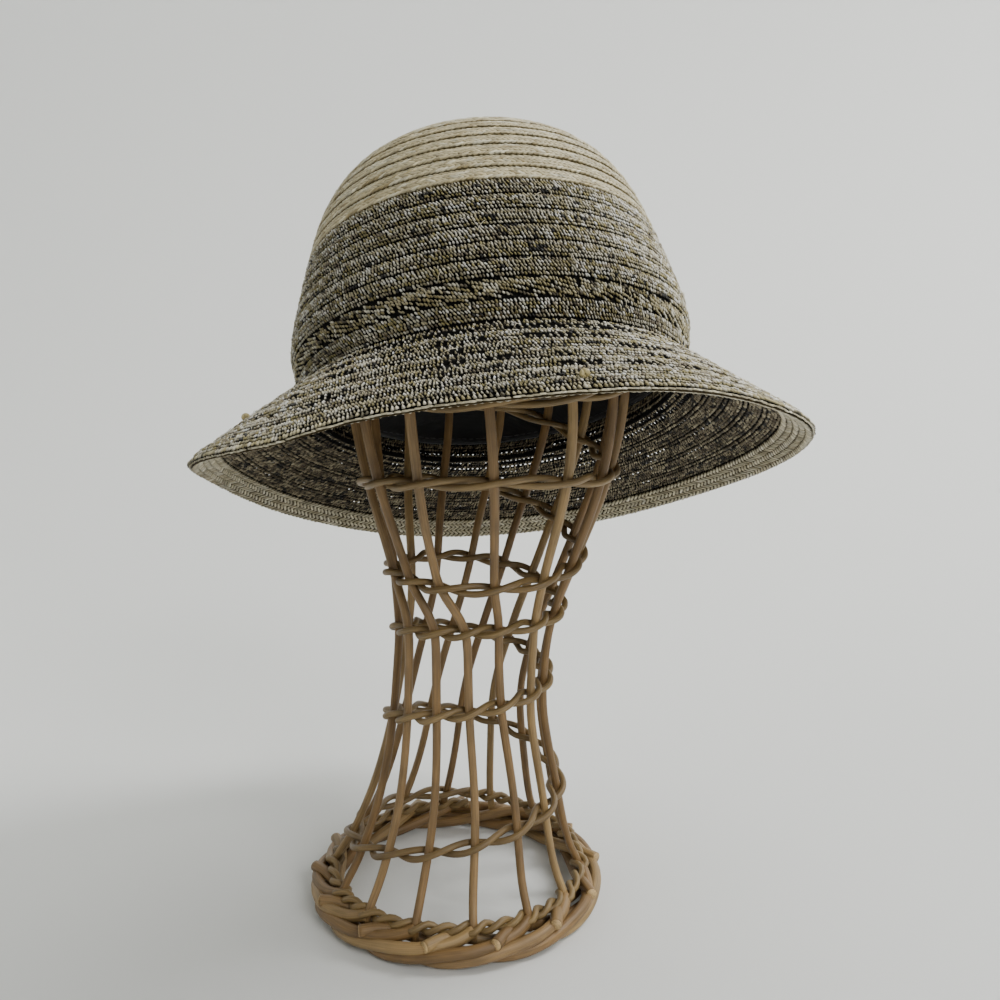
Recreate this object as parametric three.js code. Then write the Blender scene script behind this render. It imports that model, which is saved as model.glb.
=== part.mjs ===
// A braided raffia hat resting, tipped back, on a woven rattan hat stand.
// Millimetres, +Z up, the floor at z = 0 and the front of the hat towards -Y.
import * as THREE from 'three';

// Hat: crown, measured on its own axis from the root, where crown and brim meet
const ROOT_RADIUS = 89.5;          // outside of the crown at the root, half its width
const HEAD_OVAL = 1.07;            // length front to back over width
const CROWN_HEIGHT = 119.5;        // root to the top of the tip
const TWEED_HEIGHT = 64;           // root to the seam between tweed and natural braid
const CROWN_SADDLE = 1.5;          // the rows ride up at both sides of the head by this
const ROW_WIDTH = 8.5;             // visible width of one sewn braid row
const ROW_SWELL = 0.8;             // how far a row's middle stands out of its seams
const BRAID_WALL = 1.9;            // thickness of the sewn braid at a seam

// Hat: brim, facing and sweatband
const BRIM_RADIUS = 140.5;         // half the width over the brim
const BRIM_DROP = 38;              // root to edge, along the crown's axis
const BRIM_SHIFT_SIDE = -0.4;      // the brim's edge sits off the crown's axis
const BRIM_SHIFT_BACK = 2.4;
const BRIM_TURN = 2;               // the braid turns out of the crown over this width
const BRIM_FRONT_DIP = 9.5;        // the edge's front is bent down and its back up
const BRIM_RIGHT_DIP = 7.2;        // the edge's right is bent down and its left up
const BRIM_SADDLE = 5.5;           // both sides of the edge stand higher than its ends
const BRIM_CURL = 1.02;            // above 1 the brim leaves the root flat and ends steep
const FACING_WIDTH = 13.5;         // natural braid sewn under the edge
const FACING_THICKNESS = 1.1;
const BAND_SEAT = 8;               // the lower edge of the sweatband over the root
const BAND_WIDTH = 30;
const BAND_THICKNESS = 1.2;

// Hat: how it hangs on the stand
const HAT_ROOT_AT = new THREE.Vector3(-1.9, 11.9, 244);
const HAT_TILT_BACK = 22.5;        // degrees, the front edge lifted
const HAT_ROLL_LEFT = 6;           // degrees, the right side lifted

// Stand: rods, weavers and foot
const STAKE_RADIUS = 2.1;
const WEAVER_RADIUS = 1.4;
const FOOT_RADIUS = 65;            // middle of the foot's border
const FOOT_WIDTH = 14;
const FOOT_HEIGHT = 12.4;
const FOOT_ROUNDING = 0.61;        // radius of the border's section over its height
const FOOT_CANES = 5;              // canes seen side by side round the border's section
const FOOT_GROOVE = 0.87;          // radius between two canes over the radius on a cane
const STAKE_FOOT_INSET = 3.2;      // the rods spring from just inside the border's middle
const STAKE_FOOT_SEAT = 0.85;      // and stand this far below its top, between two canes
const WAIST_RADIUS = 36;
const WAIST_HEIGHT = 115;
const CAGE_RADIUS = 62.5;
const CAGE_HEIGHT = 238;
const KNOB_RADIUS = 17;            // the woven knob that closes the rods at the top
const KNOB_THICKNESS = 7;
const ROD_END_RADIUS = 12.2;       // the rods end in a ring of this radius under the knob
const BACK_PLACE = 6.5;            // each turn of weaving starts between the two rods at the back
const WEAVE_SEAT = 2.594;          // the first turn's middle stands this far over the foot's top

// Fits
const GAP = 0.3;                   // between pieces that touch
const WEAVE_EASE = 0.75;           // room left between a weaver and the rod it bends round
const WEAVER_END_GAP = 0.8;        // between the end of one turn and the start of the next

// Facets
const HAT_SEGMENTS = 28;
const TIP_INNER_STEPS = 7;
const SIDE_INNER_STEPS = 2;
const BAND_STEPS = 3;
const BRIM_CURVE_STEPS = 8;
const BRIM_INNER_STEPS = 5;
const KNOB_SEGMENTS = 12;
const ROD_SIDES = 6;
const WEAVER_SIDES = 4;
const FOOT_STEPS_PER_ROD = 4;

// Crown outline, tip to root: radius as a share of ROOT_RADIUS, height as a share of CROWN_HEIGHT
const CROWN_OUTLINE = [
  { radius: 0.000, height: 1.000 },
  { radius: 0.243, height: 0.993 },
  { radius: 0.455, height: 0.971 },
  { radius: 0.617, height: 0.930 },
  { radius: 0.728, height: 0.868 },
  { radius: 0.809, height: 0.790 },
  { radius: 0.880, height: 0.680 },
  { radius: 0.940, height: 0.533 },
  { radius: 0.996, height: 0.370 },
  { radius: 1.044, height: 0.203 },
  { radius: 1.034, height: 0.100 },
  { radius: 1.000, height: 0.000 },
];

// Waves of the brim's edge, round from the back: lift as a share of BRIM_DROP
const EDGE_WAVES = [
  { degrees: -180, lift: 0.03 },
  { degrees: -150, lift: -0.03 },
  { degrees: -120, lift: 0.00 },
  { degrees: -90, lift: 0.07 },
  { degrees: -62, lift: -0.07 },
  { degrees: -36, lift: -0.14 },
  { degrees: -18, lift: 0.00 },
  { degrees: 2, lift: 0.09 },
  { degrees: 28, lift: 0.15 },
  { degrees: 58, lift: 0.02 },
  { degrees: 90, lift: 0.02 },
  { degrees: 135, lift: 0.11 },
  { degrees: 180, lift: 0.03 },
];

// Knob, from under its middle over its edge to its top: shares of KNOB_RADIUS and KNOB_THICKNESS
const KNOB_PROFILE = [
  { radius: 0.00, height: 0.00 },
  { radius: 0.80, height: 0.00 },
  { radius: 1.00, height: 0.35 },
  { radius: 0.90, height: 0.54 },
  { radius: 0.50, height: 0.86 },
  { radius: 0.00, height: 1.00 },
];

// Flare below the waist: height as a share of WAIST_HEIGHT, spread from WAIST_RADIUS to the rods' foot
const FOOT_FLARE = [
  { height: 0.12, spread: 1.00 },
  { height: 0.26, spread: 0.67 },
  { height: 0.50, spread: 0.34 },
  { height: 0.80, spread: 0.06 },
  { height: 1.00, spread: 0.00 },
];

// Swell above the waist: height as a share of the way up to CAGE_HEIGHT, spread from WAIST_RADIUS to CAGE_RADIUS
const CAGE_SWELL = [
  { height: 0.20, spread: 0.04 },
  { height: 0.42, spread: 0.28 },
  { height: 0.75, spread: 0.76 },
  { height: 1.00, spread: 1.00 },
];

// Dome above the cage: height as a share of the way up to the knob, spread from the knob to CAGE_RADIUS
const CAGE_DOME = [
  { height: 0.18, spread: 1.03 },
  { height: 0.40, spread: 0.99 },
  { height: 0.62, spread: 0.84 },
  { height: 0.80, spread: 0.60 },
  { height: 0.93, spread: 0.28 },
  { height: 1.00, spread: 0.00 },
];

// Lean of the stand: its axis off the hat's middle in shares of WAIST_RADIUS, height in shares of CAGE_HEIGHT
const STAND_LEAN = [
  { height: 0.00, right: -0.62, back: 0.00 },
  { height: 0.07, right: -0.59, back: 0.00 },
  { height: 0.24, right: -0.47, back: 0.00 },
  { height: 0.43, right: -0.42, back: 0.00 },
  { height: 0.59, right: -0.31, back: 0.00 },
  { height: 0.70, right: -0.23, back: 0.00 },
  { height: 0.87, right: -0.17, back: 0.00 },
  { height: 1.05, right: -0.17, back: 0.05 },
  { height: 1.50, right: -0.24, back: 0.28 },
];

// Where each rod stands round the ring, in degrees from the front towards the right, at six heights
const ROD_ANGLES = [
  { foot: 9, low: 5, waist: -3, neck: -8, bust: -26, cage: -30 },
  { foot: 34, low: 31, waist: 19, neck: 15, bust: 7, cage: 2 },
  { foot: 58, low: 56, waist: 48, neck: 43, bust: 39, cage: 36 },
  { foot: 86, low: 78, waist: 72, neck: 70, bust: 68, cage: 62 },
  { foot: 112, low: 109, waist: 96, neck: 92, bust: 89, cage: 86 },
  { foot: 138, low: 137, waist: 123, neck: 117, bust: 113, cage: 106 },
  { foot: 164, low: 163, waist: 148, neck: 143, bust: 138, cage: 127 },
  { foot: 190, low: 187, waist: 172, neck: 167, bust: 162, cage: 150 },
  { foot: 217, low: 211, waist: 197, neck: 192, bust: 187, cage: 174 },
  { foot: 243, low: 238, waist: 224, neck: 218, bust: 213, cage: 199 },
  { foot: 270, low: 263, waist: 248, neck: 242, bust: 236, cage: 221 },
  { foot: 300, low: 290, waist: 277, neck: 273, bust: 262, cage: 245 },
  { foot: 321, low: 315, waist: 305, neck: 301, bust: 286, cage: 271 },
  { foot: 345, low: 341, waist: 332, neck: 328, bust: 310, cage: 303 },
];
const STAKE_COUNT = ROD_ANGLES.length;

// Rings of a rod above the last turn of weaving, as shares of the way up to its end
const ROD_END_RINGS = [0.3, 0.55, 0.76, 0.91, 1];

const LOW_STATION = 0.71;          // heights of the middle four stations, as shares of WAIST_HEIGHT
const WAIST_STATION = 1.14;
const NECK_STATION = 1.27;
const BUST_STATION = 1.46;

// The weaving climbs in one spiral: heights of each turn as shares, from WEAVE_START on the foot to 1 at CAGE_HEIGHT
const WEAVE_TURNS = [
  { left: 0.063, front: 0.063, right: 0.066, back: 0.100 },
  { left: 0.126, front: 0.193, right: 0.248, back: 0.319 },
  { left: 0.387, front: 0.443, right: 0.473, back: 0.517 },
  { left: 0.571, front: 0.603, right: 0.615, back: 0.672 },
  { left: 0.695, front: 0.690, right: 0.722, back: 0.822 },
  { left: 0.866, front: 0.897, right: 0.893, back: 0.998 },
  { left: 1.018, front: 1.036, right: 1.066, back: 1.140 },
];
const WEAVE_START = 0.063;         // height of the first turn where it begins at the back

const tweed = new THREE.MeshStandardMaterial({ color: 0x6b6557, roughness: 0.9, metalness: 0 });
const naturalBraid = new THREE.MeshStandardMaterial({ color: 0xb9ab8a, roughness: 0.75, metalness: 0 });
const facingBraid = new THREE.MeshStandardMaterial({ color: 0xa79c86, roughness: 0.8, metalness: 0 });
const blackBand = new THREE.MeshStandardMaterial({ color: 0x0c0c0e, roughness: 0.7, metalness: 0 });
const rattan = new THREE.MeshStandardMaterial({ color: 0x8a6a40, roughness: 0.6, metalness: 0 });
const rattanWeaver = new THREE.MeshStandardMaterial({ color: 0x7d6340, roughness: 0.65, metalness: 0 });

const radians = THREE.MathUtils.degToRad;

function readTable(rows, key, value, at) {
  // Smooth reading of one column against another, held at both ends.
  const last = rows.length - 1;
  if (at <= rows[0][key]) return rows[0][value];
  if (at >= rows[last][key]) return rows[last][value];
  const i = rows.findIndex((row) => row[key] > at) - 1;
  const slope = (from, to) => (rows[to][value] - rows[from][value]) / (rows[to][key] - rows[from][key]);
  const width = rows[i + 1][key] - rows[i][key];
  const startSlope = slope(Math.max(0, i - 1), i + 1) * width;
  const endSlope = slope(i, Math.min(last, i + 2)) * width;
  const share = (at - rows[i][key]) / width;
  const rise = rows[i + 1][value] - rows[i][value];
  const bend = startSlope + endSlope - 2 * rise;
  return rows[i][value] + share * (startSlope + share * (3 * rise - 2 * startSlope - endSlope + share * bend));
}

// Hat

const crownOutline = new THREE.SplineCurve(
  CROWN_OUTLINE.map((row) => new THREE.Vector2(row.radius * ROOT_RADIUS, row.height * CROWN_HEIGHT)),
);

function outlineShareAtHeight(height) {
  // Share of the crown outline's length at which it has come down to this height.
  let low = 0;
  let high = 1;
  for (let i = 0; i < 40; i++) {
    const middle = (low + high) / 2;
    if (crownOutline.getPointAt(middle).y > height) low = middle;
    else high = middle;
  }
  return (low + high) / 2;
}

function pushedOut(curve, share, distance) {
  // Point of an outline that runs outwards and down, moved square to it.
  const point = curve.getPointAt(share);
  const along = curve.getTangentAt(share);
  return new THREE.Vector2(point.x - along.y * distance, point.y + along.x * distance);
}

function braidOutside(curve, from, to) {
  // Outline of sewn rows, with a crest in the middle of each and a groove at each seam.
  const rows = Math.round(((to - from) * curve.getLength()) / ROW_WIDTH);
  const points = [];
  for (let i = 0; i <= rows * 2; i++) {
    const share = from + ((to - from) * i) / (rows * 2);
    points.push(pushedOut(curve, share, i % 2 === 1 ? ROW_SWELL : 0));
  }
  return points;
}

function evenShares(from, to, steps) {
  return Array.from({ length: steps + 1 }, (unused, i) => from + ((to - from) * i) / steps);
}

function braidInside(curve, shares) {
  return shares.map((share) => pushedOut(curve, share, -BRAID_WALL));
}

function shapeHat(x, y, z) {
  // Takes a round, level hat to the real one: oval, saddled, and bent along the brim.
  const radius = Math.hypot(x, y);
  const angle = Math.atan2(x, -y);
  const share = Math.max(0, (radius - ROOT_RADIUS) / (BRIM_RADIUS - ROOT_RADIUS));
  const brim = z > 0 ? 0 : share;
  const crown = Math.min(1, radius / ROOT_RADIUS);
  const saddle = CROWN_SADDLE * crown * crown + (BRIM_SADDLE - CROWN_SADDLE) * brim;
  const wave = readTable(EDGE_WAVES, 'degrees', 'lift', THREE.MathUtils.radToDeg(angle)) * BRIM_DROP;
  const dip = BRIM_FRONT_DIP * Math.cos(angle) + BRIM_RIGHT_DIP * Math.sin(angle);
  return new THREE.Vector3(
    x + BRIM_SHIFT_SIDE * brim,
    y * HEAD_OVAL + BRIM_SHIFT_BACK * brim,
    z - saddle * Math.cos(2 * angle) - dip * brim + wave * brim * brim,
  );
}

function turnedShell(outline) {
  // A closed outline, given from its outer face inwards, turned round the crown's axis and shaped.
  const geometry = new THREE.LatheGeometry([...outline].reverse(), HAT_SEGMENTS);
  geometry.rotateX(Math.PI / 2);
  const place = geometry.attributes.position;
  for (let i = 0; i < place.count; i++) {
    const shaped = shapeHat(place.getX(i), place.getY(i), place.getZ(i));
    place.setXYZ(i, shaped.x, shaped.y, shaped.z);
  }
  return geometry;
}

const seamShare = outlineShareAtHeight(TWEED_HEIGHT);
const halfSeam = GAP / 2 / crownOutline.getLength();
const bandShares = evenShares(
  outlineShareAtHeight(BAND_SEAT),
  outlineShareAtHeight(BAND_SEAT + BAND_WIDTH),
  BAND_STEPS,
);

function crownTip() {
  const outside = braidOutside(crownOutline, 0, seamShare - halfSeam);
  const inside = braidInside(crownOutline, evenShares(seamShare - halfSeam, 0, TIP_INNER_STEPS));
  outside[0].x = 0;
  inside[inside.length - 1].x = 0;
  return turnedShell([...outside, ...inside]);
}

function crownSide() {
  const outside = braidOutside(crownOutline, seamShare + halfSeam, 1);
  const aboveBand = evenShares(bandShares[BAND_STEPS], seamShare + halfSeam, SIDE_INNER_STEPS);
  const inside = braidInside(crownOutline, [1, ...bandShares, ...aboveBand.slice(1)]);
  return turnedShell([...outside, ...inside, outside[0].clone()]);
}

function brimCurve() {
  // Top of the brim from the turn under the crown to its edge.
  const points = [];
  for (let i = 0; i <= BRIM_CURVE_STEPS; i++) {
    const share = i / BRIM_CURVE_STEPS;
    const radius = ROOT_RADIUS + (BRIM_RADIUS - ROOT_RADIUS) * share;
    points.push(new THREE.Vector2(radius, -GAP - (BRIM_DROP - GAP) * share ** BRIM_CURL));
  }
  return new THREE.SplineCurve(points);
}

const brimTop = brimCurve();

function brim() {
  const outside = braidOutside(brimTop, 0, 1);
  const inside = braidInside(brimTop, evenShares(1, BRIM_TURN / brimTop.getLength(), BRIM_INNER_STEPS));
  const rootInner = new THREE.Vector2(ROOT_RADIUS - BRAID_WALL, -GAP);
  const rootUnder = new THREE.Vector2(ROOT_RADIUS - BRAID_WALL, -GAP - BRAID_WALL);
  return turnedShell([rootInner, ...outside, ...inside, rootUnder, rootInner.clone()]);
}

function brimFacing() {
  // A flat strip that follows the underside of the brim's edge.
  const from = 1 - FACING_WIDTH / brimTop.getLength();
  const middle = (from + 1) / 2;
  const upper = BRAID_WALL + GAP;
  const lower = upper + FACING_THICKNESS;
  const outline = [
    pushedOut(brimTop, from, -upper),
    pushedOut(brimTop, middle, -upper),
    pushedOut(brimTop, 1, -upper),
    pushedOut(brimTop, 1, -lower),
    pushedOut(brimTop, middle, -lower),
    pushedOut(brimTop, from, -lower),
  ];
  return turnedShell([...outline, outline[0].clone()]);
}

function sweatband() {
  // A plain band that lines the crown above the root.
  const outer = bandShares.map((share) => pushedOut(crownOutline, share, -BRAID_WALL - GAP));
  const inner = bandShares.map((share) => pushedOut(crownOutline, share, -BRAID_WALL - GAP - BAND_THICKNESS));
  outer.reverse();
  return turnedShell([...outer, ...inner, outer[0].clone()]);
}

const hat = new THREE.Group();
hat.rotation.set(radians(-HAT_TILT_BACK), radians(-HAT_ROLL_LEFT), 0, 'YXZ');
hat.position.copy(HAT_ROOT_AT);

function addPiece(parent, name, geometry, material) {
  const mesh = new THREE.Mesh(geometry, material);
  mesh.name = name;
  parent.add(mesh);
  return mesh;
}

const tip = addPiece(hat, 'crown_tip', crownTip(), naturalBraid);
addPiece(hat, 'crown_side', crownSide(), tweed);
addPiece(hat, 'brim', brim(), tweed);
addPiece(hat, 'brim_facing', brimFacing(), facingBraid);
addPiece(hat, 'sweatband', sweatband(), blackBand);
hat.updateMatrixWorld(true);

// Stand

function standAxis(height) {
  const share = height / CAGE_HEIGHT;
  return new THREE.Vector2(
    readTable(STAND_LEAN, 'height', 'right', share) * WAIST_RADIUS,
    readTable(STAND_LEAN, 'height', 'back', share) * WAIST_RADIUS,
  );
}

function knob() {
  // A low woven dome, seated so that it just clears the crown above it.
  const profile = KNOB_PROFILE.map((row) => new THREE.Vector2(row.radius * KNOB_RADIUS, row.height * KNOB_THICKNESS));
  const geometry = new THREE.LatheGeometry(profile, KNOB_SEGMENTS);
  geometry.rotateX(Math.PI / 2);
  return geometry;
}

const knobAxis = standAxis(CAGE_HEIGHT * STAND_LEAN[STAND_LEAN.length - 1].height);

function seatHeight(geometry) {
  // Height at which the knob stands GAP below the inside of the crown's tip.
  const place = geometry.attributes.position;
  const ray = new THREE.Raycaster();
  let room = Infinity;
  for (let i = 0; i < place.count; i++) {
    const start = new THREE.Vector3(knobAxis.x + place.getX(i), knobAxis.y + place.getY(i), 0);
    ray.set(start, new THREE.Vector3(0, 0, 1));
    const hits = ray.intersectObject(tip);
    if (hits.length > 0) room = Math.min(room, hits[0].point.z - place.getZ(i));
  }
  return room - GAP;
}

const stand = new THREE.Group();
const knobGeometry = knob();
const knobHeight = seatHeight(knobGeometry);
const topKnob = addPiece(stand, 'top_knob', knobGeometry, rattanWeaver);
topKnob.position.set(knobAxis.x, knobAxis.y, knobHeight);

const rodFootRadius = FOOT_RADIUS - STAKE_FOOT_INSET;
const rodTopHeight = knobHeight - GAP - STAKE_RADIUS;   // a slanting end reaches up by its own radius

function ringTable() {
  // One table of ring radius against height, from the three parts of the stand's outline.
  const rows = [];
  for (const row of FOOT_FLARE) {
    const radius = WAIST_RADIUS + (rodFootRadius - WAIST_RADIUS) * row.spread;
    rows.push({ height: row.height * WAIST_HEIGHT, radius });
  }
  for (const row of CAGE_SWELL) {
    const height = WAIST_HEIGHT + (CAGE_HEIGHT - WAIST_HEIGHT) * row.height;
    rows.push({ height, radius: WAIST_RADIUS + (CAGE_RADIUS - WAIST_RADIUS) * row.spread });
  }
  for (const row of CAGE_DOME) {
    const height = CAGE_HEIGHT + (rodTopHeight - CAGE_HEIGHT) * row.height;
    rows.push({ height, radius: ROD_END_RADIUS + (CAGE_RADIUS - ROD_END_RADIUS) * row.spread });
  }
  return rows;
}

const ringRows = ringTable();

function ringRadius(height) {
  return readTable(ringRows, 'height', 'radius', height);
}

function rodAngle(index, height) {
  // Angle of a rod, or of a place between two rods, round the ring at a height.
  const turns = Math.floor(index / STAKE_COUNT);
  const place = index - turns * STAKE_COUNT;
  const angleOf = (rod) => {
    const row = ROD_ANGLES[rod % STAKE_COUNT];
    const stations = [
      { height: FOOT_HEIGHT, angle: row.foot },
      { height: WAIST_HEIGHT * LOW_STATION, angle: row.low },
      { height: WAIST_HEIGHT * WAIST_STATION, angle: row.waist },
      { height: WAIST_HEIGHT * NECK_STATION, angle: row.neck },
      { height: WAIST_HEIGHT * BUST_STATION, angle: row.bust },
      { height: CAGE_HEIGHT, angle: row.cage },
      { height: rodTopHeight, angle: ROD_ANGLES[0].cage + ((rod % STAKE_COUNT) * 360) / STAKE_COUNT },
    ];
    return readTable(stations, 'height', 'angle', height) + (rod >= STAKE_COUNT ? 360 : 0);
  };
  const before = Math.floor(place);
  const share = place - before;
  return turns * 360 + angleOf(before) * (1 - share) + angleOf(before + 1) * share;
}

function ringPoint(index, height, outwards) {
  const angle = radians(rodAngle(index, height));
  const radius = ringRadius(height) + outwards;
  const axis = standAxis(height);
  return new THREE.Vector3(axis.x + radius * Math.sin(angle), axis.y - radius * Math.cos(angle), height);
}

class EvenCurve extends THREE.CatmullRomCurve3 {
  // A curve that is stepped from point to point, so a tube's rings lie on its points.
  getUtoTmapping(share) {
    return share;
  }
}

function tube(points, radius, sides) {
  const section = new THREE.Shape();
  for (let i = 0; i < sides; i++) {
    const angle = ((i + 0.5) / sides) * Math.PI * 2;
    const x = radius * Math.cos(angle);
    const y = radius * Math.sin(angle);
    if (i === 0) section.moveTo(x, y);
    else section.lineTo(x, y);
  }
  section.closePath();
  const extrudePath = new EvenCurve(points);
  return new THREE.ExtrudeGeometry(section, { steps: points.length - 1, bevelEnabled: false, extrudePath });
}

function weaveHeight(share) {
  // The weaving starts seated on the foot and spreads from there up the stand.
  const start = FOOT_HEIGHT + WEAVE_SEAT;
  return start + (CAGE_HEIGHT - start) * (share - WEAVE_START) / (1 - WEAVE_START);
}

function spiralStations() {
  // Height of the weaving against its angle, counted on and on round the stand.
  const rows = [{ angle: -180, height: weaveHeight(WEAVE_START) }];
  WEAVE_TURNS.forEach((turn, number) => {
    ['left', 'front', 'right', 'back'].forEach((quarter, i) => {
      rows.push({ angle: 360 * number + 90 * (i - 1), height: weaveHeight(turn[quarter]) });
    });
  });
  return rows;
}

const spiralRows = spiralStations();

function spiralHeight(place) {
  // Height of the weaving at a place counted in rods: the rods lean, so angle and height are found together.
  let height = 0;
  for (let i = 0; i < 12; i++) {
    height = readTable(spiralRows, 'angle', 'height', rodAngle(place, height) - 360);
  }
  return height;
}

const weaveReach = STAKE_RADIUS + WEAVER_RADIUS + WEAVE_EASE;
const weaveRise = WEAVER_RADIUS + GAP;

function weaverPoint(place, side) {
  // Two weavers twist half a turn round each other from rod to rod.
  const phase = place * Math.PI;
  const height = spiralHeight(place);
  const point = ringPoint(place, height, side * weaveReach * Math.cos(phase));
  point.z += side * weaveRise * Math.sin(phase);
  return point;
}

function weaverTurn(number, side) {
  // One turn of one weaver, with a ring on every rod and one between each two.
  const start = BACK_PLACE + number * STAKE_COUNT;
  const points = [];
  for (let i = 0; i <= STAKE_COUNT * 2; i++) points.push(weaverPoint(start + i / 2, side));
  const last = points.length - 1;
  points[0].add(points[1].clone().sub(points[0]).setLength(WEAVER_END_GAP / 2));
  points[last].add(points[last - 1].clone().sub(points[last]).setLength(WEAVER_END_GAP / 2));
  return tube(points, WEAVER_RADIUS, WEAVER_SIDES);
}

function rod(index) {
  // A rod from the foot's border to the knob, with a ring wherever the weaving crosses it.
  const heights = [FOOT_HEIGHT - STAKE_FOOT_SEAT + GAP];
  for (let number = 0; number < WEAVE_TURNS.length; number++) {
    const place = index > BACK_PLACE ? index : index + STAKE_COUNT;
    heights.push(spiralHeight(place + number * STAKE_COUNT));
  }
  const last = heights[heights.length - 1];
  for (const share of ROD_END_RINGS) heights.push(last + (rodTopHeight - last) * share);
  return tube(heights.map((height) => ringPoint(index, height, 0)), STAKE_RADIUS, ROD_SIDES);
}

function footBorder() {
  // A rolled border: thick canes laid round and round each other, flat where it stands.
  const pointsRound = FOOT_CANES * 2;
  const steps = STAKE_COUNT * FOOT_STEPS_PER_ROD;
  const heightRadius = FOOT_HEIGHT * FOOT_ROUNDING;
  const middle = FOOT_HEIGHT - heightRadius;
  const axis = standAxis(FOOT_HEIGHT);
  const positions = [];
  for (let i = 0; i < steps; i++) {
    const place = i / FOOT_STEPS_PER_ROD;
    const round = radians(rodAngle(place, FOOT_HEIGHT));
    const twist = (place * Math.PI * 2) / FOOT_CANES;   // so that every rod meets the canes alike
    for (let j = 0; j < pointsRound; j++) {
      const angle = (j / pointsRound) * Math.PI * 2 + twist;
      const reach = j % 2 === 0 ? 1 : FOOT_GROOVE;
      const radius = FOOT_RADIUS + (FOOT_WIDTH / 2) * reach * Math.sin(angle);
      const height = Math.max(0, middle + heightRadius * reach * Math.cos(angle));
      positions.push(axis.x + radius * Math.sin(round), axis.y - radius * Math.cos(round), height);
    }
  }
  const closing = STAKE_COUNT * 2;   // by now the twist has turned the section by so many points
  const faces = [];
  for (let i = 0; i < steps; i++) {
    const last = i === steps - 1;
    for (let j = 0; j < pointsRound; j++) {
      const next = (j + 1) % pointsRound;
      const shift = last ? closing : 0;
      const a = i * pointsRound + j;
      const b = i * pointsRound + next;
      const c = ((i + 1) % steps) * pointsRound + ((j + shift) % pointsRound);
      const d = ((i + 1) % steps) * pointsRound + ((next + shift) % pointsRound);
      faces.push(a, b, c, b, d, c);
    }
  }
  const geometry = new THREE.BufferGeometry();
  geometry.setAttribute('position', new THREE.Float32BufferAttribute(positions, 3));
  geometry.setIndex(faces);
  geometry.computeVertexNormals();
  return geometry;
}

addPiece(stand, 'foot_border', footBorder(), rattan);
for (let index = 0; index < STAKE_COUNT; index++) {
  addPiece(stand, `rod_${String(index + 1).padStart(2, '0')}`, rod(index), rattan);
}
for (let number = 0; number < WEAVE_TURNS.length; number++) {
  addPiece(stand, `weaver_${number + 1}_a`, weaverTurn(number, 1), rattanWeaver);
  addPiece(stand, `weaver_${number + 1}_b`, weaverTurn(number, -1), rattanWeaver);
}

// The origin is on the floor, under the middle of the whole object

const group = new THREE.Group();
group.add(hat, stand);
group.updateMatrixWorld(true);
const middle = new THREE.Box3().setFromObject(group, true).getCenter(new THREE.Vector3());
group.position.set(-middle.x, -middle.y, 0);
group.updateMatrixWorld(true);

export default group;
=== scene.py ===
import math

import bmesh
import bpy
import numpy as np
from mathutils import Matrix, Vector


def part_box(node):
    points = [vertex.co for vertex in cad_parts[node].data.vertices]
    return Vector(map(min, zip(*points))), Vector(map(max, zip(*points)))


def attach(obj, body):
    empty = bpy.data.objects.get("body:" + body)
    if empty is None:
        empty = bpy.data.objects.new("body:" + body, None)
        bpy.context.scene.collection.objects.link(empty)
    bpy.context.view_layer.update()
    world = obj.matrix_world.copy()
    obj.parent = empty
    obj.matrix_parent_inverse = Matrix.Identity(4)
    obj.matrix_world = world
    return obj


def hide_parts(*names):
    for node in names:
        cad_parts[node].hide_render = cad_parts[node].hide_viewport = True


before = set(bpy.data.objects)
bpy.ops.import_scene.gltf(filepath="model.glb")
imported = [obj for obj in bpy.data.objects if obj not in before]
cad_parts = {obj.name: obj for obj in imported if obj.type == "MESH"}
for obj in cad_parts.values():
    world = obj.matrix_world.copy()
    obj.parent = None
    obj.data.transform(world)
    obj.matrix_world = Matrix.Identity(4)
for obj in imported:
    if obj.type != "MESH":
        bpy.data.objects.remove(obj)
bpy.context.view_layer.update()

# Camera. It stands in front of the hat, level with the lower half of the crown, with a wide lens
# tipped a little down. All places are in mm from the hat's own middle line, which is found from
# the knob that carries the hat.
MM = 0.001
KNOB_FROM_MIDDLE = np.array([-8.64, 10.08])
CAMERA_AT = np.array([0.0, -467.0, 272.0])
CAMERA_TIP = 9.1
LENS = 36.0

knob_low, knob_high = (np.array(corner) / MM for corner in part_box("top_knob"))
middle = np.append((knob_low + knob_high)[:2] / 2 - KNOB_FROM_MIDDLE, 0.0)

bpy.ops.object.camera_add(
    location=(CAMERA_AT + middle) * MM,
    rotation=(math.radians(90 - CAMERA_TIP), 0, 0),
)
camera = bpy.context.object
camera.data.sensor_width = 36.0
camera.data.lens = LENS
bpy.context.scene.camera = camera

# Floor and light. A sheet of matt pale paper runs back and curves up into the wall, lit by a
# soft panel high on the right, a wide one on the left, one over the floor, one that brightens the
# wall on the right, and a pale room.
PAPER = "#e2e3e0"
PAPER_WIDTH = 9.0
PAPER_BACK = 1.5
PAPER_RISE = 4.0
PAPER_CURVE = 0.9
ROOM = "#e9edf0"


def linear(colour):
    """Turns an sRGB hex colour to the linear values that the shaders take."""
    shares = [int(colour[i:i + 2], 16) / 255 for i in (1, 3, 5)]
    return [s / 12.92 if s <= 0.04045 else ((s + 0.055) / 1.055) ** 2.4 for s in shares] + [1.0]


def add_node(material, kind, inputs=(), **settings):
    """Adds a node, with its settings; each input takes a value or another node's socket."""
    node = material.node_tree.nodes.new(kind)
    for name, value in settings.items():
        setattr(node, name, value)
    for name, value in dict(inputs).items():
        if isinstance(value, bpy.types.NodeSocket):
            material.node_tree.links.new(value, node.inputs[name])
        else:
            node.inputs[name].default_value = value
    return node


def new_material(name):
    """A material with its principled shader, ready for its own nodes."""
    material = bpy.data.materials.new(name)
    material.use_nodes = True
    return material, material.node_tree.nodes["Principled BSDF"]


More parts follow.
